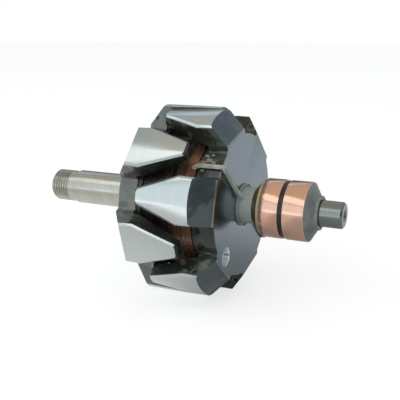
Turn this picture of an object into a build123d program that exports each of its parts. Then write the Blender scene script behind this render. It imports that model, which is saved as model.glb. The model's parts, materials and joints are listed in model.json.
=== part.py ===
"""Claw-pole alternator rotor: two six-claw pole halves round a field winding, pressed on a
shaft that carries two slip rings.

Millimetres. X runs along the shaft towards the slip rings, Z is up, and the origin is on the
shaft axis in the outer face of the drive-end pole half.
"""
from build123d import *
import math
import os

# Driving dimensions of the claw-pole halves
rotor_radius = 44.85          # ground outside of the claws
pole_claws = 6                # claws on each half
stack_length = 48.0           # outer face to outer face of the two halves
disc_thickness = 9.0
valley_depth = 11.55          # ground outside down to the floor of the valleys between the arms
valley_fillet = 1.6
arm_width = 20.2
shoulder_depth = 10.85        # ground outside down to where an arm's sloping shoulder begins
shoulder_angle = 35.4         # slope of the shoulder against the outer face, degrees
drive_end_claw_length = 35.0  # outer face to claw tip
slip_end_claw_length = 33.6
claw_root_width = 21.2
claw_taper_start = 13.6       # from the outer face
claw_tip_width = 6.6
claw_tip_radius = 2.6
claw_tip_thickness = 4.65
claw_root_thickness = 10.25
claw_root_fillet = 1.2
claw_bevel = 1.0
slip_end_claw_angle = 45.0    # direction of a slip-ring-end claw, from +Y towards +Z, degrees
arm_overlap = 3.0             # how far an arm is carried into the disc

# Balance drilling in the slip-ring-end half
balance_hole_diameter = 8.0
balance_hole_depth = 3.0
balance_hole_radius = 28.4    # distance from the axis
balance_hole_angle = 222.1    # from +Y towards +Z, degrees

# Small drillings in the flanks of three arms
flank_hole_diameter = 1.8
flank_hole_depth = 1.0
flank_hole_radius = 37.0      # distance from the axis
flank_hole_inset = 3.8        # from the outer face

# Shaft
shaft_diameter = 17.0
pole_seat_diameter = 17.6     # press-fit stretch inside the two halves
drive_shaft_length = 44.0     # pole face to the start of the thread runout
thread_diameter = 16.0
thread_length = 12.4
thread_chamfer = 1.0
runout_diameter = 15.8
runout_length = 1.2
runout_chamfer = 0.5
ring_seat_diameter = 13.0     # stretch under the slip-ring moulding
slip_journal_diameter = 12.0
slip_journal_length = 10.4
slip_journal_chamfer = 0.8
centre_hole_diameter = 3.2
centre_hole_depth = 4.0
centre_hole_angle = 60.0      # full angle of its countersink, degrees

# Field winding on its bobbin
flange_clearance = 1.8        # bobbin flange to the roots of the claws
flange_lip = 0.6              # flange beyond the winding
flange_thickness = 2.2
winding_depth = 6.0
bobbin_wall = 1.2

# Slip rings on their moulding
ring_diameter = 27.2
ring_thickness = 2.2
inner_ring_width = 8.9
outer_ring_width = 9.8
ring_gap = 2.1
hub_length = 7.3              # pole face to the nose of the moulding
moulding_end_band = 1.3       # plain band before the first ring
moulding_band_diameter = 25.8
moulding_cone_length = 3.4
moulding_nose_diameter = 19.0
separator_recess = 0.5
end_cone_length = 3.4
end_rim_drop = 0.3            # ring outside down to the wide end of the cone
end_collar_diameter = 15.6
end_collar_length = 1.1

# Face washer and field leads
washer_diameter = 20.0
washer_thickness = 1.1
sleeve_diameter = 2.0
sleeve_sides = 8
wire_diameter = 1.2
lead_overhang = 13.8          # where a lead leaves the winding, inwards of the slip-ring-end face
lead_bend = 2.4

# Clearances
lead_gap = 0.12
same_place = 0.01             # corners nearer than this are taken as one

# Derived places
valley_radius = rotor_radius - valley_depth
shoulder_start = rotor_radius - shoulder_depth
claw_root_inner_radius = rotor_radius - claw_root_thickness
claw_tip_inner_radius = rotor_radius - claw_tip_thickness
shaft_radius = shaft_diameter / 2
seat_radius = pole_seat_diameter / 2
claw_pitch = 360 / pole_claws
drive_end_claw_angle = slip_end_claw_angle - claw_pitch / 2
winding_start = disc_thickness + flange_thickness
winding_end = stack_length - winding_start
flange_radius = claw_root_inner_radius - flange_clearance
winding_radius = flange_radius - flange_lip
winding_inner_radius = winding_radius - winding_depth
core_radius = winding_inner_radius - bobbin_wall
moulding_start = stack_length + hub_length
first_ring_start = moulding_start + moulding_cone_length + moulding_end_band
first_ring_end = first_ring_start + inner_ring_width
second_ring_start = first_ring_end + ring_gap
rings_end = second_ring_start + outer_ring_width
end_cone_end = rings_end + end_cone_length
slip_journal_start = end_cone_end + end_collar_length
thread_start = -drive_shaft_length - runout_length
shaft_end = slip_journal_start + slip_journal_length


def radial(angle):
    """Unit vector across the shaft at this angle from +Y towards +Z."""
    return Vector(0, math.cos(math.radians(angle)), math.sin(math.radians(angle)))


def arm_and_claw(claw_length):
    """One arm with its claw: z runs from the pole's outer face towards the other half, x along the arm."""
    beyond = rotor_radius + claw_root_thickness
    arm_start = valley_radius - arm_overlap
    shoulder_rise = (beyond - shoulder_start) * math.tan(math.radians(shoulder_angle))
    with BuildPart() as claw:
        with BuildSketch(Plane.XZ):
            with BuildLine():
                Polyline(
                    (arm_start, 0),
                    (shoulder_start, 0),
                    (beyond, shoulder_rise),
                    (beyond, claw_length),
                    (claw_tip_inner_radius, claw_length),
                    (claw_root_inner_radius, disc_thickness),
                    (arm_start, disc_thickness),
                    close=True,
                )
            side = make_face()
            root = side.vertices().filter_by(
                lambda v: math.hypot(v.X - claw_root_inner_radius, v.Y - disc_thickness) < same_place
            )
            fillet(root, radius=claw_root_fillet)
        extrude(amount=claw_root_width, both=True)
        with BuildSketch(Plane.YZ):
            with BuildLine():
                Polyline(
                    (-arm_width / 2, 0),
                    (arm_width / 2, 0),
                    (claw_root_width / 2, claw_taper_start),
                    (claw_tip_width / 2, claw_length),
                    (-claw_tip_width / 2, claw_length),
                    (-claw_root_width / 2, claw_taper_start),
                    close=True,
                )
            outline = make_face()
            fillet(outline.vertices().sort_by(Axis.Y)[-2:], radius=claw_tip_radius)
        extrude(amount=beyond, mode=Mode.INTERSECT)
        with BuildSketch(Plane.XY):
            Circle(rotor_radius)
        extrude(amount=claw_length, mode=Mode.INTERSECT)
        flank_edges = claw.edges().filter_by(
            lambda e: e.bounding_box().size.Z > claw_tip_radius
            and all(abs(math.hypot(v.X, v.Y) - rotor_radius) < same_place for v in e.vertices())
        )
        chamfer(flank_edges, length=claw_bevel)
    return claw.part


def claw_pole(face, claw_length):
    """One claw-pole half. The face plane points at the other half, x along a claw."""
    arm_end = (valley_radius + shoulder_start) / 2
    with BuildPart(face) as pole:
        with BuildSketch(face) as outline:
            Circle(valley_radius)
            with PolarLocations(0, pole_claws):
                Rectangle(arm_end, arm_width, align=(Align.MIN, Align.CENTER))
            corners = outline.vertices().filter_by(
                lambda v: abs(math.hypot(v.X, v.Y) - valley_radius) < same_place
            )
            fillet(corners, radius=valley_fillet)
            Circle(seat_radius, mode=Mode.SUBTRACT)
        extrude(amount=disc_thickness)
        arm = arm_and_claw(claw_length)
        with PolarLocations(0, pole_claws):
            add(arm)
    return pole.part


def flank_plane(from_origin, arm_angle, towards):
    """Where a small drilling enters the flank of the arm at this angle. It is the flank that
    faces higher angles when towards is 1, and lower ones when it is -1."""
    out = radial(arm_angle) * flank_hole_radius
    across = radial(arm_angle + towards * 90)
    flank = across * (claw_root_width / 2)
    return Plane(Vector(from_origin, 0, 0) + out + flank, z_dir=across)


drive_face = Plane((0, 0, 0), x_dir=radial(drive_end_claw_angle), z_dir=(1, 0, 0))
slip_face = Plane((stack_length, 0, 0), x_dir=radial(slip_end_claw_angle), z_dir=(-1, 0, 0))

# Shaft, turned from one bar
with BuildPart() as shaft:
    with BuildSketch(Plane.XZ):
        with BuildLine():
            Polyline(
                (thread_start - thread_length, 0),
                (thread_start - thread_length, thread_diameter / 2 - thread_chamfer),
                (thread_start - thread_length + thread_chamfer, thread_diameter / 2),
                (thread_start, thread_diameter / 2),
                (thread_start, runout_diameter / 2),
                (-drive_shaft_length, runout_diameter / 2),
                (-drive_shaft_length + runout_chamfer, shaft_radius),
                (0, shaft_radius),
                (0, seat_radius),
                (stack_length, seat_radius),
                (stack_length, shaft_radius),
                (moulding_start, shaft_radius),
                (moulding_start, ring_seat_diameter / 2),
                (slip_journal_start, ring_seat_diameter / 2),
                (slip_journal_start, slip_journal_diameter / 2),
                (shaft_end - slip_journal_chamfer, slip_journal_diameter / 2),
                (shaft_end, slip_journal_diameter / 2 - slip_journal_chamfer),
                (shaft_end, 0),
                close=True,
            )
        make_face()
    revolve(axis=Axis.X)
    with Locations(Plane((shaft_end, 0, 0), x_dir=(0, 1, 0), z_dir=(1, 0, 0))):
        CounterSinkHole(
            centre_hole_diameter / 2, centre_hole_diameter, centre_hole_depth, centre_hole_angle
        )

with BuildPart() as drive_end_pole:
    add(claw_pole(drive_face, drive_end_claw_length))
    with Locations(flank_plane(flank_hole_inset, drive_end_claw_angle + claw_pitch, 1)):
        Hole(flank_hole_diameter / 2, flank_hole_depth)

# The slip-ring-end half has one balance drilling in its face
with BuildPart() as slip_ring_end_pole:
    add(claw_pole(slip_face, slip_end_claw_length))
    drilled = Vector(stack_length, 0, 0) + radial(balance_hole_angle) * balance_hole_radius
    with Locations(Plane(drilled, z_dir=(1, 0, 0))):
        Hole(balance_hole_diameter / 2, balance_hole_depth)
    inset = stack_length - flank_hole_inset
    with Locations(
        flank_plane(inset, slip_end_claw_angle, 1),
        flank_plane(inset, slip_end_claw_angle - 2 * claw_pitch, -1),
    ):
        Hole(flank_hole_diameter / 2, flank_hole_depth)

# Iron core between the two halves
with BuildPart() as pole_core:
    with BuildSketch(Plane.YZ.offset(disc_thickness)):
        Circle(core_radius)
        Circle(seat_radius, mode=Mode.SUBTRACT)
    extrude(amount=stack_length - 2 * disc_thickness)

# Bobbin: a tube on the core with a flange against each pole half
with BuildPart() as bobbin:
    with BuildSketch(Plane.XZ):
        with BuildLine():
            Polyline(
                (disc_thickness, core_radius),
                (disc_thickness, flange_radius),
                (winding_start, flange_radius),
                (winding_start, winding_inner_radius),
                (winding_end, winding_inner_radius),
                (winding_end, flange_radius),
                (stack_length - disc_thickness, flange_radius),
                (stack_length - disc_thickness, core_radius),
                close=True,
            )
        make_face()
    revolve(axis=Axis.X)

# Field winding
with BuildPart() as field_winding:
    with BuildSketch(Plane.YZ.offset(winding_start)):
        Circle(winding_radius)
        Circle(winding_inner_radius, mode=Mode.SUBTRACT)
    extrude(amount=winding_end - winding_start)

# Moulding that insulates the slip rings from the shaft
with BuildPart() as slip_ring_moulding:
    seat = ring_diameter / 2 - ring_thickness
    with BuildSketch(Plane.XZ):
        with BuildLine():
            Polyline(
                (moulding_start, ring_seat_diameter / 2),
                (moulding_start, moulding_nose_diameter / 2),
                (moulding_start + moulding_cone_length, moulding_band_diameter / 2),
                (first_ring_start, moulding_band_diameter / 2),
                (first_ring_start, seat),
                (first_ring_end, seat),
                (first_ring_end, ring_diameter / 2 - separator_recess),
                (second_ring_start, ring_diameter / 2 - separator_recess),
                (second_ring_start, seat),
                (rings_end, seat),
                (rings_end, ring_seat_diameter / 2),
                close=True,
            )
        make_face()
    revolve(axis=Axis.X)


def slip_ring(start, width):
    """One copper ring, from this place along the shaft."""
    with BuildPart() as ring:
        with BuildSketch(Plane.YZ.offset(start)):
            Circle(ring_diameter / 2)
            Circle(ring_diameter / 2 - ring_thickness, mode=Mode.SUBTRACT)
        extrude(amount=width)
    return ring.part


inner_slip_ring = slip_ring(first_ring_start, inner_ring_width)
outer_slip_ring = slip_ring(second_ring_start, outer_ring_width)

# Retaining collar that closes the slip-ring end
with BuildPart() as end_collar:
    with BuildSketch(Plane.XZ):
        with BuildLine():
            Polyline(
                (rings_end, ring_seat_diameter / 2),
                (rings_end, ring_diameter / 2 - end_rim_drop),
                (end_cone_end, end_collar_diameter / 2),
                (slip_journal_start, end_collar_diameter / 2),
                (slip_journal_start, ring_seat_diameter / 2),
                close=True,
            )
        make_face()
    revolve(axis=Axis.X)

# Insulating washer against the slip-ring-end face
with BuildPart() as face_washer:
    with BuildSketch(Plane.YZ.offset(stack_length)):
        Circle(washer_diameter / 2)
        Circle(shaft_radius, mode=Mode.SUBTRACT)
    extrude(amount=washer_thickness)


# A lead's middle line stands this far off the valley floor and the face, so that its bend
# clears the edge between them
lead_stand = lead_bend - (lead_bend - sleeve_diameter / 2 - lead_gap) / math.sqrt(2)


def lead_piece(angle, outer, inner):
    """A bar of few sides for the wire, or a tube when it has an inner width, from the winding
    over the valley floor and down the face to the washer."""
    out = radial(angle)
    over_floor = valley_radius + lead_stand
    off_face = stack_length + lead_stand
    inner_end = washer_diameter / 2 + lead_gap
    begin = Vector(stack_length - lead_overhang, 0, 0) + out * over_floor
    corner = Vector(off_face, 0, 0) + out * over_floor
    end = Vector(off_face, 0, 0) + out * inner_end
    with BuildPart() as piece:
        with BuildLine():
            FilletPolyline(begin, corner, end, radius=lead_bend)
        with BuildSketch(Plane(begin, x_dir=out, z_dir=(1, 0, 0))):
            RegularPolygon(outer / 2, sleeve_sides)
            if inner:
                RegularPolygon(inner / 2, sleeve_sides, mode=Mode.SUBTRACT)
        sweep()
    return piece.part


valley_angle = slip_end_claw_angle + claw_pitch / 2 + claw_pitch
first_lead = lead_piece(valley_angle, wire_diameter, 0)
second_lead = lead_piece(valley_angle + 180, wire_diameter, 0)
first_lead_sleeve = lead_piece(valley_angle, sleeve_diameter, wire_diameter)
second_lead_sleeve = lead_piece(valley_angle + 180, sleeve_diameter, wire_diameter)

pieces = {
    "shaft": shaft.part,
    "drive_end_pole": drive_end_pole.part,
    "slip_ring_end_pole": slip_ring_end_pole.part,
    "pole_core": pole_core.part,
    "bobbin": bobbin.part,
    "field_winding": field_winding.part,
    "slip_ring_moulding": slip_ring_moulding.part,
    "inner_slip_ring": inner_slip_ring,
    "outer_slip_ring": outer_slip_ring,
    "end_collar": end_collar.part,
    "face_washer": face_washer.part,
    "first_lead": first_lead,
    "second_lead": second_lead,
    "first_lead_sleeve": first_lead_sleeve,
    "second_lead_sleeve": second_lead_sleeve,
}

os.makedirs("parts", exist_ok=True)
for name, solid in pieces.items():
    solid.label = name
    export_step(solid, f"parts/{name}.step")
    print(name, round(solid.volume, 1))
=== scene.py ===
"""Claw-pole alternator rotor: finishes, thread, winding, woven sleeving and stage round the fixed frame.

Sizes are in metres in the same frame as the construction: X runs along the shaft towards the
slip rings, Z is up, and the origin lies in the outer face of the drive-end claw-pole half.
Inside the materials, places are in millimetres.
"""

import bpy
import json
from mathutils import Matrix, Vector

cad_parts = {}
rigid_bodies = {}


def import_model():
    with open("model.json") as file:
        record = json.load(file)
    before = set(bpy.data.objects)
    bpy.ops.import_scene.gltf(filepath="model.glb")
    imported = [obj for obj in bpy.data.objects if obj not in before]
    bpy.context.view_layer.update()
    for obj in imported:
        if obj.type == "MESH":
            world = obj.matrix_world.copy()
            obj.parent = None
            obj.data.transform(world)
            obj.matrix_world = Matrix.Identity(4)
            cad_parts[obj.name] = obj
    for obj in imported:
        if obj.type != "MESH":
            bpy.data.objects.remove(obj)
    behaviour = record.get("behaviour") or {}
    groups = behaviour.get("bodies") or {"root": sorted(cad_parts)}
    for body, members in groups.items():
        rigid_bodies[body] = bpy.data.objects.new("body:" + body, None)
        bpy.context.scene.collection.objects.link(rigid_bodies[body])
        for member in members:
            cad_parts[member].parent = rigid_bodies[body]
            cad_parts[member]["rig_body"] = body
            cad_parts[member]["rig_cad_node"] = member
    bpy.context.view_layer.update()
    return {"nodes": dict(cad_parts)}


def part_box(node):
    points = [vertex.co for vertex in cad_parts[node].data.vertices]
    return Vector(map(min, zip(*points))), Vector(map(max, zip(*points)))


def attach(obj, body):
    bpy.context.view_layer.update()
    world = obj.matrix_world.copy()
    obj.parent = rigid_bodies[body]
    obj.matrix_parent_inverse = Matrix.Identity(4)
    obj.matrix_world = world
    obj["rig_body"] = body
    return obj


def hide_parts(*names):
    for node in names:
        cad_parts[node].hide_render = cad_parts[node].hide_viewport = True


bl_info = {
    "name": "Alternator rotor",
    "version": (1, 0, 0),
    "blender": (4, 5, 0),
    "location": "View3D > Sidebar > Rotor",
    "description": "Dresses the rotor frame with turned, forged, wound and moulded surfaces",
    "category": "Object",
}

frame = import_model()

import json
import math

import bpy
from mathutils import Matrix, Vector

MM = 0.001

# Places read from the frame, in metres
DRIVE_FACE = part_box("drive_end_pole")[0].x
SLIP_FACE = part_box("slip_ring_end_pole")[1].x
SHAFT_START, SHAFT_END = (corner.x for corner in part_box("shaft"))
SEAT_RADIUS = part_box("shaft")[1].z
FIRST_RING = [corner.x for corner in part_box("inner_slip_ring")]
SECOND_RING = [corner.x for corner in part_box("outer_slip_ring")]
RING_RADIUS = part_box("inner_slip_ring")[1].z
MOULDING_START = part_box("slip_ring_moulding")[0].x
COLLAR_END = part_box("end_collar")[1].x
WINDING = [corner.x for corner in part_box("field_winding")]
WINDING_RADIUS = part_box("field_winding")[1].z
WASHER_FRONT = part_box("face_washer")[1].x
WASHER_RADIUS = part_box("face_washer")[1].z

# Places that the frame's boxes don't give, in millimetres and degrees from +Y towards +Z
LEAD_VALLEY = 135.0
BALANCE_HOLE_TURN = 222.1
BALANCE_HOLE_OUT = 28.4
BALANCE_HOLE_RADIUS = 4.0
BALANCE_HOLE_DEPTH = 3.0
# Small drillings in the arms' flanks: place along the shaft, direction of the arm, side of the arm
FLANK_HOLES = ((3.8, 75, 1), (44.2, 45, 1), (44.2, -75, -1))
FLANK_HOLE_OUT = 37.0
FLANK_HOLE_ACROSS = 10.6

# The photograph's viewpoint, in millimetres and degrees
CAMERA_PLACE = (161.1, -279.95, 85.13)
CAMERA_YAW, CAMERA_PITCH, CAMERA_ROLL = -25.886, 15.34, -0.853
CAMERA_LENS = 60.13

# Name, place in metres, width, height, power in watts, tint
LAMPS = (
    ("low_front_lamp", (-0.43, -0.9, 0.035), 1.6, 0.13, 0.72, (0.97, 1.0, 1.0)),
    ("front_lamp", (-0.404, -0.846, 0.35), 1.6, 0.5, 1.45, (0.93, 1.0, 1.0)),
    ("upper_front_lamp", (-0.276, -0.579, 0.766), 1.6, 0.42, 1.85, (1.0, 0.99, 0.93)),
    ("back_left_lamp", (-0.5, 0.75, 0.75), 0.9, 0.2, 0.2, (0.88, 0.95, 1.0)),
)

# Dark parts of the room: direction from the rotor, and how near to it the dark begins
DARK_PARTS = (((0.99, -0.12, -0.02), 0.84), ((-0.4, 0.9, 0.1), 0.9))


def length(name, description, millimetres):
    """A length that a user may change."""
    return bpy.props.FloatProperty(
        name=name, description=description, default=millimetres * MM, unit="LENGTH", subtype="DISTANCE",
        precision=5, min=0.0,
    )


def colour(name, description, red, green, blue):
    """A colour that a user may change, in linear light."""
    return bpy.props.FloatVectorProperty(
        name=name, description=description, default=(red, green, blue), subtype="COLOR", size=3,
        min=0.0, max=1.0,
    )


class RotorSizes(bpy.types.PropertyGroup):
    """Sizes of the detail that the frame leaves out."""

    claw_radius: length("Claw radius", "Ground outside of the claws", 44.85)
    pole_edge: length("Forged edge", "Rounding of the claw-pole edges", 0.35)
    turned_edge: length("Turned edge", "Rounding of turned edges", 0.15)
    thread_pitch: length("Thread pitch", "Advance of the thread in one turn", 1.5)
    thread_radius: length("Thread radius", "Outside of the thread crests", 8.0)
    thread_depth: length("Thread depth", "Crest down to root", 1.0)
    thread_length: length("Thread length", "Threaded end before its plain band", 10.2)
    plain_band: length("Plain band", "Plain band between the thread and the journal", 3.4)
    wire: length("Winding wire", "Diameter of the winding wire", 0.9)
    sleeve: length("Sleeving", "Outside diameter of the woven sleeving", 2.0)


class RotorColours(bpy.types.PropertyGroup):
    """Base colours of the finishes."""

    ground_steel: colour("Ground steel", "Ground outside of the claws", 0.62, 0.66, 0.66)
    faced_steel: colour("Faced steel", "Turned faces and shoulders of the pole halves", 0.28, 0.34, 0.39)
    varnish: colour("Varnish", "Dark varnish on the forged flanks and valleys", 0.055, 0.062, 0.052)
    turned_steel: colour("Turned steel", "Shaft", 0.58, 0.57, 0.5)
    dull_steel: colour("Dull steel", "Slip-ring end of the shaft", 0.27, 0.295, 0.28)
    hub: colour("Hub", "Satin stretch of the shaft between face and moulding", 0.62, 0.66, 0.61)
    enamel: colour("Wire enamel", "Winding wire", 0.27, 0.115, 0.06)
    copper: colour("Ring copper", "Slip rings", 0.88, 0.57, 0.45)
    resin: colour("Moulding resin", "Slip-ring moulding", 0.06, 0.045, 0.028)
    amber: colour("Amber resin", "Thin end band of the moulding and drops of resin", 0.7, 0.49, 0.25)
    collar: colour("Collar", "Retaining collar at the slip-ring end", 0.28, 0.295, 0.275)
    fibre: colour("Fibre", "Washer against the pole face", 0.42, 0.43, 0.4)
    sleeving: colour("Sleeving", "Woven glass sleeving", 0.74, 0.73, 0.65)
    bobbin: colour("Bobbin", "Bobbin flanges and tube", 0.04, 0.046, 0.04)


# Node helpers


def place(tree, kind, **values):
    """Adds a shader node and sets plain attributes on it."""
    node = tree.nodes.new(kind)
    for key, value in values.items():
        setattr(node, key, value)
    return node


def feed(tree, socket, value):
    """Links a socket to an input, or writes a plain value on it."""
    if isinstance(value, bpy.types.NodeSocket):
        tree.links.new(value, socket)
    else:
        socket.default_value = value


def maths(tree, operation, first, second=0.0, third=None):
    """One Math node."""
    node = place(tree, "ShaderNodeMath", operation=operation)
    feed(tree, node.inputs[0], first)
    feed(tree, node.inputs[1], second)
    if third is not None:
        feed(tree, node.inputs[2], third)
    return node.outputs[0]


def vector_maths(tree, operation, first, second=(0.0, 0.0, 0.0)):
    """One Vector Math node."""
    node = place(tree, "ShaderNodeVectorMath", operation=operation)
    feed(tree, node.inputs[0], first)
    feed(tree, node.inputs[1], second)
    return node.outputs["Value" if operation in ("LENGTH", "DISTANCE", "DOT_PRODUCT") else "Vector"]


def components(tree, vector):
    """The X, Y and Z of a vector."""
    node = place(tree, "ShaderNodeSeparateXYZ")
    feed(tree, node.inputs[0], vector)
    return node.outputs


def coordinates(tree, kind="Object"):
    """The shaded point's coordinates of this kind."""
    return place(tree, "ShaderNodeTexCoord").outputs[kind]


def ramp(tree, value, low, high, to_low=0.0, to_high=1.0):
    """A smooth step between two values."""
    node = place(tree, "ShaderNodeMapRange", interpolation_type="SMOOTHSTEP", clamp=True)
    feed(tree, node.inputs["Value"], value)
    feed(tree, node.inputs["From Min"], low)
    feed(tree, node.inputs["From Max"], high)
    feed(tree, node.inputs["To Min"], to_low)
    feed(tree, node.inputs["To Max"], to_high)
    return node.outputs["Result"]


def shade(tint, amount):
    """A colour made darker or lighter by a factor."""
    return tuple(min(1.0, part * amount) for part in tuple(tint)[:3])


def with_alpha(value):
    """A plain colour with its alpha, or a socket unchanged."""
    return value if isinstance(value, bpy.types.NodeSocket) else (*tuple(value)[:3], 1.0)


def blend_colours(tree, share, first, second):
    """One colour Mix node."""
    node = place(tree, "ShaderNodeMix", data_type="RGBA")
    feed(tree, node.inputs["Factor"], share)
    feed(tree, node.inputs[6], with_alpha(first))
    feed(tree, node.inputs[7], with_alpha(second))
    return node.outputs[2]


def shades(tree, share, tint, first, second):
    """A colour that runs from one shade of a tint to another, each given as a factor."""
    return blend_colours(tree, share, shade(tint, first), shade(tint, second))


def noise(tree, vector, scale, detail=3.0, roughness=0.55):
    """One Noise Texture, its value only."""
    node = place(tree, "ShaderNodeTexNoise")
    feed(tree, node.inputs["Vector"], vector)
    feed(tree, node.inputs["Scale"], scale)
    feed(tree, node.inputs["Detail"], detail)
    feed(tree, node.inputs["Roughness"], roughness)
    return node.outputs["Fac"]


# Shader node groups


def new_group(name, inputs, outputs):
    """An empty shader node group: its inputs are pairs of name and default, its outputs names."""
    group = bpy.data.node_groups.new(name, "ShaderNodeTree")
    for label, default in inputs:
        socket = group.interface.new_socket(label, in_out="INPUT", socket_type="NodeSocketFloat")
        socket.default_value = default
    for label in outputs:
        group.interface.new_socket(label, in_out="OUTPUT", socket_type="NodeSocketFloat")
    return group, group.nodes.new("NodeGroupInput"), group.nodes.new("NodeGroupOutput")


def shaft_place_group():
    """Where a point lies: millimetres along the shaft and from its axis, and the angle round it."""
    group, _, out = new_group("Place on shaft", [], ["Along", "Radius", "Angle"])
    point = components(group, coordinates(group))
    squares = maths(
        group, "ADD", maths(group, "POWER", point["Y"], 2.0), maths(group, "POWER", point["Z"], 2.0)
    )
    feed(group, out.inputs["Along"], maths(group, "MULTIPLY", point["X"], 1 / MM))
    feed(group, out.inputs["Radius"], maths(group, "MULTIPLY", maths(group, "SQRT", squares), 1 / MM))
    feed(group, out.inputs["Angle"], maths(group, "ARCTAN2", point["Z"], point["Y"]))
    return group


def turning_group():
    """Fine tool marks that run round the shaft: an uneven height and a streak mask."""
    group, given, out = new_group(
        "Turning marks", [("Position", 0.0), ("Angle", 0.0), ("Lines per mm", 4.0)], ["Height", "Streak"]
    )
    vector = place(group, "ShaderNodeCombineXYZ")
    scaled = maths(group, "MULTIPLY", given.outputs["Position"], given.outputs["Lines per mm"])
    feed(group, vector.inputs["X"], scaled)
    feed(group, vector.inputs["Y"], maths(group, "MULTIPLY", given.outputs["Angle"], 0.35))
    feed(group, out.inputs["Height"], noise(group, vector.outputs[0], 1.0, 4.0, 0.7))
    feed(group, out.inputs["Streak"], noise(group, vector.outputs[0], 0.23, 3.0, 0.6))
    return group


def handling_group():
    """Soft uneven stains and fine specks from handling and storage."""
    group, given, out = new_group("Handling marks", [("Size mm", 12.0)], ["Stain", "Speck"])
    point = coordinates(group)
    scale = maths(group, "DIVIDE", 1 / MM, given.outputs["Size mm"])
    stain = noise(group, point, scale, 4.0, 0.6)
    speck = noise(group, point, maths(group, "MULTIPLY", scale, 14.0), 2.0, 0.5)
    feed(group, out.inputs["Stain"], ramp(group, stain, 0.35, 0.7))
    feed(group, out.inputs["Speck"], ramp(group, speck, 0.62, 0.72))
    return group


GROUP_MAKERS = {
    "Place on shaft": shaft_place_group,
    "Turning marks": turning_group,
    "Handling marks": handling_group,
}
GROUPS = {}


def group_node(tree, name, **inputs):
    """Places a shared group in a material with its own values."""
    if name not in GROUPS:
        GROUPS[name] = GROUP_MAKERS[name]()
    node = place(tree, "ShaderNodeGroup", node_tree=GROUPS[name])
    for label, value in inputs.items():
        feed(tree, node.inputs[label.replace("_", " ")], value)
    return node.outputs


def place_on_shaft(tree):
    """The point's place along the shaft, its radius and its angle."""
    return group_node(tree, "Place on shaft")


def turning_marks(tree, where, position, lines_per_mm):
    """Tool marks round the shaft, spaced along it or out from it."""
    return group_node(
        tree, "Turning marks", Position=position, Angle=where["Angle"], Lines_per_mm=lines_per_mm
    )


def handling_marks(tree, size_mm):
    """Stains and specks of this size."""
    return group_node(tree, "Handling marks", Size_mm=size_mm)


def new_material(name):
    """A material with its Principled shader, ready for its nodes."""
    material = bpy.data.materials.new(name)
    material.use_nodes = True
    tree = material.node_tree
    return material, tree, tree.nodes["Principled BSDF"]


def set_finish(tree, shader, tint, mask, spread, base):
    """Feeds the base colour, and a roughness that rises by the spread with a mask."""
    feed(tree, shader.inputs["Base Color"], tint)
    feed(tree, shader.inputs["Roughness"], maths(tree, "MULTIPLY_ADD", mask, spread, base))


def bump(tree, shader, height, strength, distance_mm):
    """Feeds a height through one Bump node into the shader's normal."""
    node = place(tree, "ShaderNodeBump")
    node.inputs["Strength"].default_value = strength
    node.inputs["Distance"].default_value = distance_mm * MM
    feed(tree, node.inputs["Height"], height)
    tree.links.new(node.outputs["Normal"], shader.inputs["Normal"])


# Finishes


def drilling_mask(tree):
    """Where the balance drilling has cut the slip-ring-end face: 1 on its wall and floor."""
    turn = math.radians(BALANCE_HOLE_TURN)
    centre = Vector((0, math.cos(turn), math.sin(turn))) * BALANCE_HOLE_OUT * MM
    offset = vector_maths(tree, "SUBTRACT", coordinates(tree), centre)
    across = vector_maths(tree, "MULTIPLY", offset, (0, 1 / MM, 1 / MM))
    far = vector_maths(tree, "LENGTH", across)
    inside = ramp(tree, far, BALANCE_HOLE_RADIUS + 0.5, BALANCE_HOLE_RADIUS + 0.3)
    along = maths(tree, "MULTIPLY", components(tree, offset)["X"], 1 / MM)
    floor = SLIP_FACE / MM - BALANCE_HOLE_DEPTH
    return maths(tree, "MULTIPLY", inside, ramp(tree, along, floor - 0.4, floor - 0.3))


def drill_ring_marks(tree):
    """Faint rings left by the drill's lip round the small drillings in the flanks."""
    lip_radius = 1.9
    total = 0.0
    for along, turn, side in FLANK_HOLES:
        arm, across = math.radians(turn), math.radians(turn + side * 90)
        centre = Vector((
            along,
            FLANK_HOLE_OUT * math.cos(arm) + FLANK_HOLE_ACROSS * math.cos(across),
            FLANK_HOLE_OUT * math.sin(arm) + FLANK_HOLE_ACROSS * math.sin(across),
        ))
        offset = vector_maths(tree, "DISTANCE", coordinates(tree), centre * MM)
        far = maths(tree, "MULTIPLY", offset, 1 / MM)
        from_lip = maths(tree, "ABSOLUTE", maths(tree, "SUBTRACT", far, lip_radius))
        ring = maths(tree, "SUBTRACT", 1.0, ramp(tree, from_lip, 0.1, 0.35))
        total = maths(tree, "MAXIMUM", ring, total)
    return total


def machining_masks(tree, sizes, where):
    """Where a pole half is ground on its claws, turned on its faces and shoulders, and cut at the faces'
    rims, which the finish also lightens as a painted highlight."""
    normal = components(tree, coordinates(tree, "Normal"))
    facing = maths(tree, "ABSOLUTE", normal["X"])
    claw_radius = sizes.claw_radius / MM
    outside = ramp(tree, where["Radius"], claw_radius - 0.95, claw_radius - 0.75)
    ground = maths(tree, "MULTIPLY", outside, ramp(tree, facing, 0.5, 0.4))
    middle = (SLIP_FACE + DRIVE_FACE) / 2 / MM
    reach = (SLIP_FACE - DRIVE_FACE) / 2 / MM
    from_middle = maths(tree, "SUBTRACT", where["Along"], middle)
    outwards = maths(tree, "MULTIPLY", normal["X"], maths(tree, "SIGN", from_middle))
    beyond = maths(tree, "ABSOLUTE", from_middle)
    on_shoulder = maths(tree, "MULTIPLY", ramp(tree, beyond, reach - 11.2, reach - 11.0), 0.45)
    on_face = maths(tree, "MULTIPLY_ADD", ramp(tree, beyond, reach - 0.5, reach - 0.1), 0.55, on_shoulder)
    face = maths(tree, "MULTIPLY", ramp(tree, outwards, 0.5, 0.7), on_face)
    rim = maths(
        tree, "MULTIPLY", ramp(tree, beyond, reach - 0.42, reach - 0.3),
        ramp(tree, beyond, reach - 0.01, reach - 0.06),
    )
    return ground, face, rim


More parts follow.
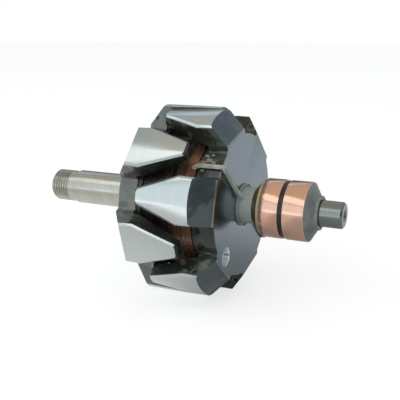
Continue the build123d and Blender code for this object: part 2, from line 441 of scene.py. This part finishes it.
def claw_pole_finish(sizes, colours):
    """Varnished forging whose claws are ground outside and whose outer faces are turned."""
    material, tree, shader = new_material("Claw pole steel")
    where = place_on_shaft(tree)
    ground, face, rim = machining_masks(tree, sizes, where)
    drilled = drilling_mask(tree)
    machined = maths(
        tree, "MAXIMUM", maths(tree, "MAXIMUM", ground, drilled), maths(tree, "MAXIMUM", face, rim)
    )
    around = turning_marks(tree, where, where["Along"], 3.0)
    across = turning_marks(tree, where, where["Radius"], 2.2)
    stain = handling_marks(tree, 14.0)["Stain"]

    varnish = shades(tree, stain, colours.varnish, 0.7, 1.8)
    # Painted light: the varnish is lightened towards the drive end, below 12 mm along the shaft, where
    # the valley floors face the front lamps.
    painted_light_drive_end = ramp(tree, where["Along"], 12.0, 9.0, 0.0, 0.5)
    varnish = blend_colours(tree, painted_light_drive_end, varnish, (0.3, 0.31, 0.28))
    ring_marks = maths(tree, "MULTIPLY", drill_ring_marks(tree), 0.5)
    varnish = blend_colours(tree, ring_marks, varnish, shade(colours.ground_steel, 0.4))
    ground_tint = shades(tree, around["Streak"], colours.ground_steel, 0.93, 1.05)
    face_tint = shades(tree, across["Streak"], colours.faced_steel, 0.88, 1.1)
    tint = blend_colours(tree, ground, varnish, ground_tint)
    tint = blend_colours(tree, face, tint, face_tint)
    # The faces' cut rims are bare steel, lightened towards the ground tint as a painted highlight along
    # the edges.
    tint = blend_colours(tree, maths(tree, "MULTIPLY", rim, 0.4), tint, ground_tint)
    tint = blend_colours(tree, drilled, tint, (0.85, 0.88, 0.88))
    feed(tree, shader.inputs["Base Color"], tint)

    feed(tree, shader.inputs["Metallic"], maths(tree, "MULTIPLY_ADD", machined, 0.5, 0.5))
    roughness = place(tree, "ShaderNodeMix", data_type="FLOAT")
    feed(tree, roughness.inputs["Factor"], machined)
    feed(tree, roughness.inputs[2], maths(tree, "MULTIPLY_ADD", stain, 0.12, 0.14))
    feed(tree, roughness.inputs[3], maths(tree, "MULTIPLY_ADD", stain, 0.05, 0.17))
    feed(tree, shader.inputs["Roughness"], roughness.outputs[0])

    grain = noise(tree, coordinates(tree), 150.0, 2.0, 0.35)
    forged_height = maths(tree, "MULTIPLY", grain, maths(tree, "SUBTRACT", 1.0, machined))
    line_height = maths(
        tree, "ADD", maths(tree, "MULTIPLY", around["Height"], ground),
        maths(tree, "MULTIPLY", across["Height"], face),
    )
    bump(tree, shader, maths(tree, "MULTIPLY_ADD", line_height, 0.006, forged_height), 1.0, 1.6)
    return material


def turned_steel_finish(colours):
    """Turned shaft steel with lines round it, satin at the hub and duller beyond the collar."""
    material, tree, shader = new_material("Turned shaft steel")
    where = place_on_shaft(tree)
    along = where["Along"]
    lines = turning_marks(tree, where, along, 3.5)
    streak = lines["Streak"]
    stain = handling_marks(tree, 9.0)["Stain"]
    collar_end, slip_face = COLLAR_END / MM, SLIP_FACE / MM
    bright = shades(tree, streak, colours.turned_steel, 0.85, 1.1)
    dull = shades(tree, streak, colours.dull_steel, 0.85, 1.15)
    satin = shades(tree, streak, colours.hub, 0.9, 1.1)
    tint = blend_colours(tree, ramp(tree, along, collar_end - 2, collar_end - 1), bright, dull)
    stained = maths(tree, "MULTIPLY", stain, 0.35)
    tint = blend_colours(tree, stained, tint, shade(colours.dull_steel, 1.2))
    hub = maths(
        tree, "MULTIPLY", ramp(tree, along, slip_face - 1, slip_face),
        ramp(tree, along, collar_end - 1, collar_end - 2),
    )
    tint = blend_colours(tree, hub, tint, satin)
    set_finish(tree, shader, tint, hub, 0.25, maths(tree, "MULTIPLY_ADD", stain, 0.08, 0.2))
    feed(tree, shader.inputs["Metallic"], maths(tree, "MULTIPLY_ADD", hub, -0.8, 1.0))
    bump(tree, shader, lines["Height"], 0.2, 0.008)
    return material


def copper_finish(colours):
    """Turned copper, redder in some lines and slightly stained."""
    material, tree, shader = new_material("Slip ring copper")
    where = place_on_shaft(tree)
    lines = turning_marks(tree, where, where["Along"], 5.0)
    stain = handling_marks(tree, 8.0)["Stain"]
    redder = tuple(part * share for part, share in zip(colours.copper, (0.92, 0.78, 0.7)))
    tint = blend_colours(tree, lines["Streak"], redder, shade(colours.copper, 1.13))
    tint = blend_colours(tree, maths(tree, "MULTIPLY", stain, 0.4), tint, shade(colours.copper, 0.85))
    set_finish(tree, shader, tint, lines["Streak"], 0.08, 0.13)
    shader.inputs["Metallic"].default_value = 1.0
    bump(tree, shader, lines["Height"], 0.2, 0.006)
    return material


def enamel_finish(colours):
    """Enamelled copper wire under varnish, with the turns' sides and the gaps between them painted near
    black as shade.
    """
    material, tree, shader = new_material("Varnished winding wire")
    marks = handling_marks(tree, 5.0)
    where = place_on_shaft(tree)
    outside = WINDING_RADIUS / MM
    # Painted shade: below the turns' crowns the wire is near black, on the turns' sides and in the gaps
    # between them.
    crown = ramp(tree, where["Radius"], outside - 0.39, outside - 0.01)
    wire = blend_colours(tree, crown, shade(colours.varnish, 0.1), shade(colours.enamel, 2.1))
    strands = turning_marks(tree, where, where["Along"], 1.1)
    # Strands show lighter in a random pattern and fade to the dark varnish towards the drive end: painted
    # shade where the claws shade the winding.
    strand_pattern_and_light = maths(
        tree, "MULTIPLY", ramp(tree, strands["Streak"], 0.35, 0.6),
        ramp(tree, where["Along"], 21.0, 29.0, 0.12, 1.0),
    )
    wire = blend_colours(tree, strand_pattern_and_light, shade(colours.varnish, 0.25), wire)
    stained = maths(tree, "MULTIPLY", marks["Stain"], 0.4)
    tint = blend_colours(tree, stained, wire, shade(colours.varnish, 0.3))
    set_finish(tree, shader, tint, marks["Stain"], 0.2, 0.22)
    shader.inputs["Metallic"].default_value = 0.5
    shader.inputs["Coat Weight"].default_value = 0.6
    bump(tree, shader, marks["Speck"], 0.4, 0.05)
    return material


def moulded_finish(name, tint, roughness, stain_size):
    """Moulded or pressed material with a faint grain."""
    material, tree, shader = new_material(name)
    stain = handling_marks(tree, stain_size)["Stain"]
    set_finish(tree, shader, shades(tree, stain, tint, 0.8, 1.3), stain, 0.12, roughness)
    bump(tree, shader, noise(tree, coordinates(tree), 1800.0, 2.0), 0.25, 0.03)
    return material


def woven_finish(colours):
    """Cream glass sleeving, a little grubby, with fine fibres."""
    material, tree, shader = new_material("Woven sleeving")
    stain = handling_marks(tree, 3.0)["Stain"]
    set_finish(tree, shader, shades(tree, stain, colours.sleeving, 1.08, 0.78), stain, 0.2, 0.5)
    bump(tree, shader, noise(tree, coordinates(tree), 4200.0, 2.0), 0.4, 0.04)
    return material


def drop_finish(colours):
    """Brown resin with a pale skin in places."""
    material, tree, shader = new_material("Resin drops")
    marks = handling_marks(tree, 1.6)
    tint = blend_colours(tree, marks["Stain"], shade(colours.amber, 0.3), (0.42, 0.4, 0.32))
    set_finish(tree, shader, tint, marks["Stain"], 0.25, 0.12)
    bump(tree, shader, marks["Speck"], 0.3, 0.05)
    return material


def resin_finish(colours):
    """Dark glossy moulding, amber where it thins out against the first ring."""
    material, tree, shader = new_material("Moulding resin")
    along = place_on_shaft(tree)["Along"]
    marks = handling_marks(tree, 4.0)
    stain = marks["Stain"]
    ring_start, ring_end = (end / MM for end in FIRST_RING)
    band = maths(
        tree, "MULTIPLY", ramp(tree, along, ring_start - 1.7, ring_start - 1.1),
        ramp(tree, along, ring_start + 0.3, ring_start + 0.1),
    )
    # Painted shade: beyond the first ring the moulding is darkened, in the groove between the rings.
    groove = ramp(tree, along, ring_end - 0.1, ring_end)
    dark = shades(tree, stain, colours.resin, 0.9, 2.4)
    dark = blend_colours(tree, groove, dark, shade(colours.resin, 0.35))
    amber = shades(tree, stain, colours.amber, 0.7, 1.2)
    set_finish(tree, shader, blend_colours(tree, band, dark, amber), stain, 0.15, 0.16)
    bump(tree, shader, marks["Speck"], 0.3, 0.03)
    return material


# Object and mesh helpers


def new_object(name, data):
    """An object with this data, in the scene."""
    made = bpy.data.objects.new(name, data)
    bpy.context.scene.collection.objects.link(made)
    return made


def select_none():
    """Leaves edit mode and clears the selection."""
    if bpy.context.object and bpy.context.object.mode != "OBJECT":
        bpy.ops.object.mode_set(mode="OBJECT")
    bpy.ops.object.select_all(action="DESELECT")


def make_active(piece):
    """Selects one object alone."""
    select_none()
    piece.select_set(True)
    bpy.context.view_layer.objects.active = piece


def edit_all(piece):
    """Opens one object for editing with all of its mesh selected."""
    make_active(piece)
    bpy.ops.object.mode_set(mode="EDIT")
    bpy.ops.mesh.select_all(action="SELECT")


def turn_outwards():
    """Turns all faces of the mesh under edit outwards, and leaves edit mode."""
    bpy.ops.mesh.select_all(action="SELECT")
    bpy.ops.mesh.normals_make_consistent(inside=False)
    bpy.ops.object.mode_set(mode="OBJECT")


def join(pieces, name):
    """Joins these objects into the first one."""
    select_none()
    for piece in pieces:
        piece.select_set(True)
    bpy.context.view_layer.objects.active = pieces[0]
    bpy.ops.object.join()
    pieces[0].name = name
    return pieces[0]


def apply_modifier(piece, kind, **values):
    """Adds one modifier with these settings and applies it."""
    make_active(piece)
    modifier = piece.modifiers.new(kind.title(), kind)
    for key, value in values.items():
        setattr(modifier, key, value)
    bpy.ops.object.modifier_apply(modifier=modifier.name)


def settle(piece):
    """Puts the object's place into its mesh."""
    make_active(piece)
    bpy.ops.object.transform_apply(location=True, rotation=True, scale=True)


def ring_of_edges(sides, radius, location, rotation):
    """A round loop of edges with its place in its mesh."""
    select_none()
    bpy.ops.mesh.primitive_circle_add(
        vertices=sides, radius=radius, fill_type="NOTHING", location=location, rotation=rotation
    )
    ring = bpy.context.object
    settle(ring)
    return ring


def turned(name, outline, sides=128, closed=False):
    """A turned shape. The outline holds pairs of place along the shaft and radius. It ends in flat
    faces, or joins up with its start when it is closed, as round a bore."""
    first, radius = outline[0]
    piece = ring_of_edges(sides, radius, (first, 0, 0), (0, math.pi / 2, 0))
    piece.name = name
    edit_all(piece)
    if not closed:
        bpy.ops.mesh.edge_face_add()
        bpy.ops.mesh.select_mode(type="EDGE")
    path = outline[1:] + ([outline[0]] if closed else [])
    for along, wanted in path:
        bpy.ops.mesh.extrude_edges_move(TRANSFORM_OT_translate={"value": (along - first, 0, 0)})
        share = wanted / radius
        bpy.ops.transform.resize(value=(1, share, share), center_override=(along, 0, 0))
        first, radius = along, wanted
    if not closed:
        bpy.ops.mesh.edge_face_add()
    bpy.ops.mesh.select_all(action="SELECT")
    bpy.ops.mesh.remove_doubles(threshold=1e-7)
    turn_outwards()
    return piece


def sweep(piece, sides, **values):
    """Sweeps a loop of this many edges along the shaft by a Screw modifier and closes its ends."""
    apply_modifier(piece, "SCREW", axis="X", use_merge_vertices=True, **values)
    make_active(piece)
    bpy.ops.object.mode_set(mode="EDIT")
    bpy.ops.mesh.select_all(action="DESELECT")
    bpy.ops.mesh.select_mode(type="EDGE")
    bpy.ops.mesh.select_non_manifold()
    bpy.ops.mesh.fill_holes(sides=sides)
    turn_outwards()


def soften(piece, width, segments=2, limit=30):
    """Rounds the sharp edges and smooths the rest."""
    apply_modifier(
        piece, "BEVEL", width=width, segments=segments, limit_method="ANGLE",
        angle_limit=math.radians(limit),
    )
    smooth(piece, limit)


def smooth(piece, limit=30):
    """Smooth shading up to this angle between faces."""
    make_active(piece)
    bpy.ops.object.shade_smooth_by_angle(angle=math.radians(limit))


def finish_piece(piece, material, slot, *nodes):
    """Gives a piece its finish and its body, and hides the nodes that it stands for. Its slot argument is
    not used.
    """
    piece.data.materials.clear()
    piece.data.materials.append(material)
    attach(piece, "root")
    if nodes:
        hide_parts(*nodes)


def dress_node(name, material):
    """Gives a node of the frame a finish."""
    node = frame["nodes"][name]
    node.data.materials.clear()
    node.data.materials.append(material)


class RotorOperator(bpy.types.Operator):
    """Shared parts of the rotor's operators."""

    bl_options = {"REGISTER", "UNDO"}

    @property
    def sizes(self):
        return bpy.context.scene.rotor_sizes

    @property
    def colours(self):
        return bpy.context.scene.rotor_colours


class ROTOR_OT_claw_poles(RotorOperator):
    """Dress both claw-pole halves: forged flanks, ground claws and turned faces"""

    bl_idname = "rotor.claw_poles"
    bl_label = "Claw poles"

    def execute(self, context):
        finish = claw_pole_finish(self.sizes, self.colours)
        for node, name in (
            ("drive_end_pole", "drive_end_claws"), ("slip_ring_end_pole", "slip_ring_end_claws")
        ):
            piece = self.softened_copy(node, name)
            finish_piece(piece, finish, "forged_steel", node)
        dress_node("pole_core", finish)
        return {"FINISHED"}

    def softened_copy(self, node, name):
        """A copy of the forging with its edges rounded, as a forging and its grinding leave them."""
        piece = frame["nodes"][node].copy()
        piece.data = piece.data.copy()
        piece.name = name
        piece.parent = None
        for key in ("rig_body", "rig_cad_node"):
            del piece[key]
        bpy.context.scene.collection.objects.link(piece)
        edit_all(piece)
        bpy.ops.mesh.remove_doubles(threshold=1e-6)
        bpy.ops.mesh.dissolve_limited(angle_limit=math.radians(0.5))
        bpy.ops.object.mode_set(mode="OBJECT")
        soften(piece, self.sizes.pole_edge, 2, 24)
        return piece


class ROTOR_OT_shaft(RotorOperator):
    """Turn the shaft with its journals and centre hole, and cut the thread"""

    bl_idname = "rotor.shaft"
    bl_label = "Shaft"

    def execute(self, context):
        sizes = self.sizes
        thread_end = SHAFT_START + sizes.thread_length
        band_end = thread_end + sizes.plain_band
        crest = sizes.thread_radius
        band = crest - 0.15 * MM
        journal, ring_seat, slip_journal, centre_hole = 8.5 * MM, 6.4 * MM, 6.0 * MM, 1.6 * MM
        clear = 0.01 * MM
        outline = [
            (SHAFT_START, crest - 1.0 * MM),
            (SHAFT_START + 1.0 * MM, crest),
            (thread_end + 0.4 * MM, crest),
            (thread_end + 0.6 * MM, band),
            (band_end, band),
            (band_end + 0.5 * MM, journal),
            (DRIVE_FACE - clear, journal),
            (DRIVE_FACE - clear, SEAT_RADIUS),
            (SLIP_FACE + clear, SEAT_RADIUS),
            (SLIP_FACE + clear, journal),
            (MOULDING_START + 1.0 * MM, journal),
            (MOULDING_START + 1.0 * MM, ring_seat),
            (COLLAR_END - 0.3 * MM, ring_seat),
            (COLLAR_END - 0.3 * MM, slip_journal),
            (SHAFT_END - 0.8 * MM, slip_journal),
            (SHAFT_END, slip_journal - 0.8 * MM),
            (SHAFT_END, centre_hole + 1.0 * MM),
            (SHAFT_END - 0.9 * MM, centre_hole),
            (SHAFT_END - 3.6 * MM, centre_hole),
            (SHAFT_END - 4.0 * MM, 0.2 * MM),
        ]
        piece = turned("threaded_shaft", outline)
        self.cut_thread(piece, crest, crest - sizes.thread_depth)
        smooth(piece, 25)
        finish_piece(piece, turned_steel_finish(self.colours), "turned_steel", "shaft")
        return {"FINISHED"}

    def cut_thread(self, piece, crest, root):
        """Cuts a V groove that advances one pitch in each turn."""
        pitch = self.sizes.thread_pitch
        lead_in = 0.8 * pitch
        turns = round((self.sizes.thread_length + lead_in) / pitch)
        outer = crest + 0.25 * MM
        half_width = (outer - root) * math.tan(math.radians(30))
        half_flat = 0.06 * MM
        corners = [(-half_width, outer), (half_width, outer), (half_flat, root), (-half_flat, root)]
        select_none()
        bpy.ops.mesh.primitive_plane_add(size=1, location=(0, 0, 0))
        cutter = bpy.context.object
        vertices = cutter.data.vertices
        for vertex, (along, out) in zip((vertices[i] for i in (0, 1, 3, 2)), corners):
            vertex.co = (SHAFT_START - lead_in + along, 0, out)
        edit_all(cutter)
        bpy.ops.mesh.delete(type="ONLY_FACE")
        bpy.ops.object.mode_set(mode="OBJECT")
        sweep(
            cutter, 4, angle=2 * math.pi, screw_offset=pitch, iterations=turns, steps=64, render_steps=64,
            merge_threshold=1e-6, use_smooth_shade=False,
        )
        apply_modifier(piece, "BOOLEAN", operation="DIFFERENCE", solver="EXACT", object=cutter)
        bpy.data.objects.remove(cutter)


class ROTOR_OT_winding(RotorOperator):
    """Lay the outer turns of the field winding and dress the bobbin"""

    bl_idname = "rotor.winding"
    bl_label = "Field winding"

    def execute(self, context):
        wire = self.sizes.wire
        start, end = WINDING
        middle_radius = WINDING_RADIUS - wire / 2
        turns = ring_of_edges(10, wire / 2, (start + wire / 2, 0, middle_radius), (math.pi / 2, 0, 0))
        sweep(
            turns, 10, angle=2 * math.pi, screw_offset=wire, iterations=int((end - start) / wire) - 1,
            steps=90, render_steps=90, merge_threshold=1e-7, use_smooth_shade=True,
        )
        bore, under_turns = 27 * MM, middle_radius - wire * 0.2
        outline = [(start, bore), (start, under_turns), (end, under_turns), (end, bore)]
        body = turned("winding_body", outline, 96, closed=True)
        piece = join([turns, body], "winding_turns")
        smooth(piece, 60)
        finish_piece(piece, enamel_finish(self.colours), "winding_copper", "field_winding")
        dress_node("bobbin", moulded_finish("Bobbin plastic", self.colours.bobbin, 0.2, 10.0))
        return {"FINISHED"}


class ROTOR_OT_slip_rings(RotorOperator):
    """Turn the slip rings and dress their moulding and the retaining collar"""

    bl_idname = "rotor.slip_rings"
    bl_label = "Slip rings"

    def execute(self, context):
        copper = copper_finish(self.colours)
        bore = RING_RADIUS - 2.2 * MM
        for name, node, (start, end) in (
            ("inner_ring", "inner_slip_ring", FIRST_RING),
            ("outer_ring", "outer_slip_ring", SECOND_RING),
        ):
            outline = [(start, bore), (start, RING_RADIUS), (end, RING_RADIUS), (end, bore)]
            piece = turned(name, outline, 160, closed=True)
            soften(piece, self.sizes.turned_edge)
            finish_piece(piece, copper, "ring_copper", node)
        dress_node("slip_ring_moulding", resin_finish(self.colours))
        dress_node("end_collar", moulded_finish("Collar plastic", self.colours.collar, 0.28, 8.0))
        return {"FINISHED"}


class ROTOR_OT_leads(RotorOperator):
    """Lay the woven sleeving of both leads, their drops of resin and the dished washer"""

    bl_idname = "rotor.leads"
    bl_label = "Leads"

    # Places along the shaft, out from it and across the valley, in millimetres
    route_points = (
        (33.6, 31.4, 1.5), (35.4, 33.0, 1.6), (37.6, 34.3, 1.7), (41.0, 34.5, 1.8), (45.5, 34.5, 1.8),
        (48.6, 34.6, 1.8), (49.5, 34.0, 1.8), (49.45, 31.0, 1.8), (49.3, 24.0, 1.7), (49.3, 16.0, 1.6),
        (49.7, 11.5, 1.5), (50.3, 9.4, 1.4),
    )
    # The same, each with its drop's radius
    drop_places = (
        (38.0, 33.0, -0.6, 1.3), (40.8, 33.3, -1.9, 1.1), (43.2, 33.3, -0.7, 0.9),
        (39.3, 33.1, -4.2, 0.8), (42.0, 33.3, -4.6, 0.6), (38.9, 33.1, 3.4, 0.7),
    )

    def execute(self, context):
        sleeving = woven_finish(self.colours)
        resin = drop_finish(self.colours)
        for node, name, turn in (
            ("first_lead_sleeve", "first_sleeve", 0.0), ("second_lead_sleeve", "second_sleeve", math.pi)
        ):
            piece = self.woven_sleeve(name, turn)
            finish_piece(piece, sleeving, "lead_sleeve", node, node.replace("_sleeve", ""))
            drops = self.resin_drops(name.replace("sleeve", "drops"), turn)
            finish_piece(drops, resin, "moulding_plastic")
        self.washer()
        return {"FINISHED"}

    def spot(self, along, out, across, turn):
        """A place in the valley that the first lead crosses, or half a turn from it."""
        valley = math.radians(LEAD_VALLEY) + turn
        return Vector((
            along * MM,
            (out * math.cos(valley) - across * math.sin(valley)) * MM,
            (out * math.sin(valley) + across * math.cos(valley)) * MM,
        ))

    def lead_route(self, turn):
        """The lead's middle line as a curve object, and its length."""
        data = bpy.data.curves.new("lead_route", "CURVE")
        data.dimensions = "3D"
        data.resolution_u = 24
        spline = data.splines.new("NURBS")
        spline.points.add(len(self.route_points) - 1)
        for point, place_on_lead in zip(spline.points, self.route_points):
            point.co = (*self.spot(*place_on_lead, turn), 1.0)
        spline.order_u = 3
        spline.use_endpoint_u = True
        return new_object("lead_route", data), spline.calc_length()

    def woven_sleeve(self, name, turn):
        """Two crossed sets of strands over a thin lining, bent along the lead's route."""
        route, total = self.lead_route(turn)
        radius = self.sizes.sleeve / 2
        strand = 0.13 * MM
        pieces = [self.lining(radius - 2.2 * strand, total)]
        for way, reach in ((1, radius - strand), (-1, radius - 1.5 * strand)):
            pieces += self.strands(strand, reach, way, total)
        sleeve = join(pieces, name)
        apply_modifier(sleeve, "CURVE", object=route, deform_axis="POS_X")
        bpy.data.objects.remove(route)
        edit_all(sleeve)
        turn_outwards()
        smooth(sleeve, 70)
        return sleeve

    def lining(self, radius, total):
        """A straight rod along X, cut into short lengths that can bend."""
        lengths = 48
        select_none()
        bpy.ops.mesh.primitive_cylinder_add(
            vertices=16, radius=radius, depth=total, location=(total / 2, 0, 0),
            rotation=(0, math.pi / 2, 0),
        )
        rod = bpy.context.object
        settle(rod)
        edit_all(rod)
        for part in range(1, lengths):
            bpy.ops.mesh.select_all(action="SELECT")
            bpy.ops.mesh.bisect(plane_co=(total * part / lengths, 0, 0), plane_no=(1, 0, 0))
        bpy.ops.object.mode_set(mode="OBJECT")
        return rod

    def strands(self, strand, reach, way, total):
        """Strands that wind one way round X, spread evenly."""
        count, advance = 8, 5.2 * MM
        steps = int(20 * total / advance)
        first = ring_of_edges(6, strand, (0, 0, reach), (math.pi / 2, 0, 0))
        sweep(
            first, 6, angle=way * 2 * math.pi * total / advance, screw_offset=total, iterations=1,
            steps=steps, render_steps=steps, merge_threshold=1e-7, use_smooth_shade=True,
        )
        made = [first]
        for number in range(1, count):
            copy = new_object("strand", first.data.copy())
            copy.rotation_euler = (2 * math.pi * number / count, 0, 0)
            settle(copy)
            made.append(copy)
        return made

    def resin_drops(self, name, turn):
        """Uneven drops of resin that hold the lead where it leaves the winding."""
        drops = []
        for along, out, across, radius in self.drop_places:
            select_none()
            bpy.ops.mesh.primitive_ico_sphere_add(subdivisions=3, radius=radius * MM)
            drop = bpy.context.object
            drop.scale = (1.4, 1.0, 0.45)
            drop.rotation_euler = (math.radians(LEAD_VALLEY) + turn - math.pi / 2, 0, 0)
            drop.location = self.spot(along, out, across, turn)
            settle(drop)
            drops.append(drop)
        piece = join(drops, name)
        texture = bpy.data.textures.new("drop_unevenness", "CLOUDS")
        texture.noise_scale = 1.2 * MM
        apply_modifier(piece, "DISPLACE", texture=texture, strength=0.5 * MM, mid_level=0.5)
        smooth(piece, 80)
        return piece

    def washer(self):
        """A dished washer: a raised rim round a recess at the shaft."""
        inner, outer = 8.55 * MM, WASHER_RADIUS
        back, front = SLIP_FACE + 0.02 * MM, WASHER_FRONT
        dish = back + 0.4 * MM
        outline = [
            (back, inner), (back, outer - 0.02 * MM), (front, outer - 0.02 * MM),
            (front, outer - 0.5 * MM), (dish, outer - 0.75 * MM), (dish, inner),
        ]
        piece = turned("dished_washer", outline, closed=True)
        soften(piece, 0.12 * MM)
        fibre = moulded_finish("Washer fibre", self.colours.fibre, 0.25, 5.0)
        finish_piece(piece, fibre, "washer_fibre", "face_washer")


class ROTOR_OT_stage(RotorOperator):
    """Set up the pale floor, the soft lamps, the surroundings and the camera"""

    bl_idname = "rotor.stage"
    bl_label = "Stage"

    def execute(self, context):
        self.floor()
        self.lamps()
        self.surroundings()
        self.camera()
        return {"FINISHED"}

    def floor(self):
        """A floor below the claws, white to the camera but for the shadow. To the metal it glows dimmer
        in parts:
        a painted shade in its reflections, darkest beside the rotor on the right."""
        select_none()
        bpy.ops.mesh.primitive_plane_add(size=6.0, location=(0, 0, -self.sizes.claw_radius))
        floor = bpy.context.object
        floor.name = "floor"
        material, tree, shader = new_material("Pale floor")
        shader.inputs["Base Color"].default_value = (0.5, 0.5, 0.5, 1)
        shader.inputs["Roughness"].default_value = 0.9
        shader.inputs["Emission Color"].default_value = (1, 1, 1, 1)
        path = place(tree, "ShaderNodeLightPath").outputs
        spot = components(tree, coordinates(tree))
        # Painted shade for reflections: the floor's glow to glossy rays is dimmed beside the rotor on the
        # right and towards the far front on the left.
        right = ramp(tree, spot["X"], 0.0, 0.06)
        left_part = ramp(tree, spot["Y"], 0.0, -0.12, 0.75, 0.45)
        right_part = ramp(tree, spot["Y"], 0.03, 0.12, 0.15, 0.5)
        difference = maths(tree, "SUBTRACT", right_part, left_part)
        mirrored = maths(
            tree, "MULTIPLY", path["Is Glossy Ray"],
            maths(tree, "MULTIPLY_ADD", right, difference, left_part),
        )
        seen = maths(tree, "MAXIMUM", path["Is Camera Ray"], mirrored)
        feed(tree, shader.inputs["Emission Strength"], maths(tree, "MULTIPLY", seen, 0.72))
        floor.data.materials.append(material)

    def lamps(self):
        """Large soft lamps that face the rotor: three in front on the left, a dim one behind."""
        for name, position, width, height, power, tint in LAMPS:
            data = bpy.data.lights.new(name, "AREA")
            data.shape = "RECTANGLE"
            data.size = width
            data.size_y = height
            data.energy = power
            data.color = tint
            lamp = new_object(name, data)
            lamp.location = position
            lamp.rotation_euler = (-Vector(position)).to_track_quat("-Z", "Y").to_euler()

    def surroundings(self):
        """White to the camera. Reflections see a room with a warm ceiling, cool walls and dark parts."""
        world = bpy.data.worlds.new("Studio")
        bpy.context.scene.world = world
        world.use_nodes = True
        tree = world.node_tree
        tree.nodes.clear()
        direction = coordinates(tree, "Generated")
        upwards = ramp(tree, components(tree, direction)["Z"], 0.6, 0.98)
        tint = blend_colours(tree, upwards, (0.4, 0.45, 0.49), (0.58, 0.55, 0.46))
        for aim, near in DARK_PARTS:
            closeness = vector_maths(tree, "DOT_PRODUCT", direction, aim)
            tint = blend_colours(tree, ramp(tree, closeness, near, 0.97), tint, (0.13, 0.14, 0.13))
        room = place(tree, "ShaderNodeBackground")
        feed(tree, room.inputs["Color"], tint)
        white = place(tree, "ShaderNodeBackground")
        white.inputs["Color"].default_value = (1, 1, 1, 1)
        mix = place(tree, "ShaderNodeMixShader")
        out = place(tree, "ShaderNodeOutputWorld")
        feed(tree, mix.inputs[0], place(tree, "ShaderNodeLightPath").outputs["Is Camera Ray"])
        feed(tree, mix.inputs[1], room.outputs[0])
        feed(tree, mix.inputs[2], white.outputs[0])
        feed(tree, out.inputs[0], mix.outputs[0])
        bpy.context.scene.view_settings.view_transform = "Standard"

    def camera(self):
        """The photograph's viewpoint: in front, to the right and above, with a small roll."""
        data = bpy.data.cameras.new("camera")
        data.lens = CAMERA_LENS
        data.sensor_width = 36.0
        data.clip_start = 0.01
        camera = new_object("camera", data)
        camera.location = Vector(CAMERA_PLACE) * MM
        heading, dip = math.radians(CAMERA_YAW), math.radians(CAMERA_PITCH)
        forward = Vector((
            math.sin(heading) * math.cos(dip), math.cos(heading) * math.cos(dip), -math.sin(dip)
        ))
        level = forward.to_track_quat("-Z", "Y").to_matrix()
        rolled = level @ Matrix.Rotation(math.radians(CAMERA_ROLL), 3, "Z")
        camera.rotation_euler = rolled.to_euler()
        bpy.context.scene.camera = camera


STEPS = (
    ROTOR_OT_claw_poles,
    ROTOR_OT_shaft,
    ROTOR_OT_winding,
    ROTOR_OT_slip_rings,
    ROTOR_OT_leads,
    ROTOR_OT_stage,
)


class ROTOR_PT_panel(bpy.types.Panel):
    """The rotor's sizes, colours and steps."""

    bl_idname = "ROTOR_PT_panel"
    bl_label = "Alternator rotor"
    bl_space_type = "VIEW_3D"
    bl_region_type = "UI"
    bl_category = "Rotor"

    def draw(self, context):
        column = self.layout.column()
        for group in (context.scene.rotor_sizes, context.scene.rotor_colours):
            for name in group.__annotations__:
                column.prop(group, name)
        for step in STEPS:
            column.operator(step.bl_idname)


CLASSES = (RotorSizes, RotorColours, *STEPS, ROTOR_PT_panel)


def register():
    """Registers the classes and hangs the settings on the scene."""
    for kind in CLASSES:
        bpy.utils.register_class(kind)
    bpy.types.Scene.rotor_sizes = bpy.props.PointerProperty(type=RotorSizes)
    bpy.types.Scene.rotor_colours = bpy.props.PointerProperty(type=RotorColours)


def unregister():
    """Takes the settings and the classes away again."""
    del bpy.types.Scene.rotor_sizes
    del bpy.types.Scene.rotor_colours
    for kind in reversed(CLASSES):
        bpy.utils.unregister_class(kind)


def main():
    """Runs every step in order."""
    register()
    bpy.ops.rotor.claw_poles()
    bpy.ops.rotor.shaft()
    bpy.ops.rotor.winding()
    bpy.ops.rotor.slip_rings()
    bpy.ops.rotor.leads()
    bpy.ops.rotor.stage()


if __name__ == "__main__":
    main()
